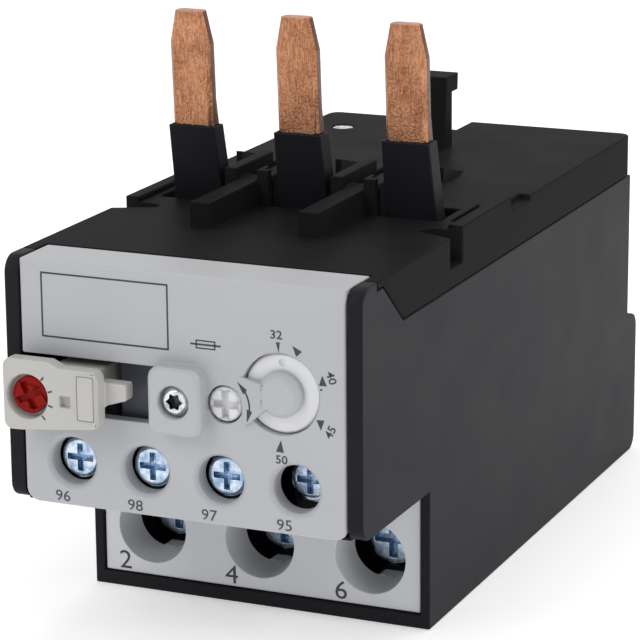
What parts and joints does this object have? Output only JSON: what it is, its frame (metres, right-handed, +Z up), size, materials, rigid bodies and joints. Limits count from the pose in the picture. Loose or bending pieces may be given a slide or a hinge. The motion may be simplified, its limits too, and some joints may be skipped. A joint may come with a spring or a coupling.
{
  "type": "thermal overload relay",
  "caption": "Thermal overload relay with bent line-side blades in sleeves, load terminals below, a current setting dial, a reset key and a bimetal trip mechanism inside.",
  "frame": {"origin": "middle of the footprint of the whole part, on the plane that the lower block stands on", "axes": "+X across the poles to the right seen from the front, +Y from the front cover to the back, +Z up along the blades"},
  "size_m": [0.056, 0.1306, 0.0883],
  "materials": {
    "housing_black": "fine satin moulding",
    "cover_grey": "fine spark-eroded grain",
    "key_white": "satin moulding",
    "dial_white": "satin moulding",
    "selector_red": "satin moulding",
    "frame_blue_grey": "satin moulding",
    "copper": "rolled strip with brushed faces and bright bevels",
    "zinc_steel": "bright zinc plate",
    "spring_steel": "drawn wire and strip",
    "bimetal": "rolled strip",
    "heater_alloy": "oxidised ribbon"
  },
  "bodies": {
    "casing": {"aux_clamp_1": "zinc_steel", "aux_clamp_2": "zinc_steel", "aux_clamp_3": "zinc_steel", "aux_clamp_4": "zinc_steel", "aux_screw_1": "zinc_steel", "aux_screw_2": "zinc_steel", "aux_screw_3": "zinc_steel", "aux_screw_4": "zinc_steel", "aux_terminal_1": "zinc_steel", "aux_terminal_2": "zinc_steel", "aux_terminal_3": "zinc_steel", "aux_terminal_4": "zinc_steel", "base_housing": "housing_black", "bimetal_strip_1": "bimetal", "bimetal_strip_2": "bimetal", "bimetal_strip_3": "bimetal", "blade_sleeve_1": "housing_black", "blade_sleeve_2": "housing_black", "blade_sleeve_3": "housing_black", "box_clamp_1": "zinc_steel", "box_clamp_2": "zinc_steel", "box_clamp_3": "zinc_steel", "cap_screw": "zinc_steel", "closing_contact": "spring_steel", "cover_screw": "zinc_steel", "front_cover": "cover_grey", "heater_coil_1": "heater_alloy", "heater_coil_2": "heater_alloy", "heater_coil_3": "heater_alloy", "lever_pin": "zinc_steel", "line_blade_1": "copper", "line_blade_2": "copper", "line_blade_3": "copper", "load_screw_1": "zinc_steel", "load_screw_2": "zinc_steel", "load_screw_3": "zinc_steel", "load_terminal_1": "copper", "load_terminal_2": "copper", "load_terminal_3": "copper", "mechanism_frame": "frame_blue_grey", "opening_contact": "spring_steel", "reset_spring": "spring_steel", "rocker_pin": "zinc_steel", "terminal_plate": "cover_grey", "top_cap": "housing_black"},
    "key": {"reset_key": "key_white"},
    "selector": {"mode_selector": "selector_red"},
    "dial": {"setting_dial": "dial_white"},
    "setting": {"setting_screw": "dial_white"},
    "slide": {"trip_slider": "frame_blue_grey"},
    "lever": {"trip_lever": "bimetal"},
    "rocker": {"contact_rocker": "frame_blue_grey"}
  },
  "joints": [
    {"name": "reset_press", "type": "slide", "parent": "casing", "child": "key", "axis": [0, 1, 0], "range_m": [0, 0.0024], "stiffness_N_per_m": 400, "springref_m": -0.003, "deforming": ["reset_spring"]},
    {"name": "selector_turn", "type": "hinge", "parent": "key", "child": "selector", "pos_m": [-0.022, -0.06375, 0.0392], "axis": [0, -1, 0], "range_deg": [-31.5, 67.5]},
    {"name": "dial_turn", "type": "hinge", "parent": "casing", "child": "dial", "pos_m": [0.0156, -0.05875, 0.04225], "axis": [0, 1, 0], "range_deg": [-6, 184]},
    {"name": "setting_screw_turn", "type": "hinge", "parent": "casing", "child": "setting", "pos_m": [0.0069, -0.05875, 0.0398], "axis": [0, 1, 0], "range_deg": [-276.5, 9.5]},
    {"name": "trip_slide", "type": "slide", "parent": "casing", "child": "slide", "axis": [1, 0, 0], "range_m": [0, 0.002], "stiffness_N_per_m": 200, "springref_m": -0.001},
    {"name": "trip_lever_turn", "type": "hinge", "parent": "casing", "child": "lever", "pos_m": [0.0214, -0.03625, 0.037], "axis": [0, 0, -1], "range_deg": [-0.5, 8]},
    {"name": "contact_rocker_turn", "type": "hinge", "parent": "casing", "child": "rocker", "pos_m": [0.006, -0.03525, 0.037], "axis": [0, 0, -1], "range_deg": [-0.5, 7.2]}
  ],
  "couplings": [
    {"joint": "setting_screw_turn", "follows": "dial_turn", "ratio": -1.5},
    {"joint": "trip_lever_turn", "follows": "trip_slide", "rad_per_m": 67},
    {"joint": "contact_rocker_turn", "follows": "trip_slide", "rad_per_m": 60}
  ]
}
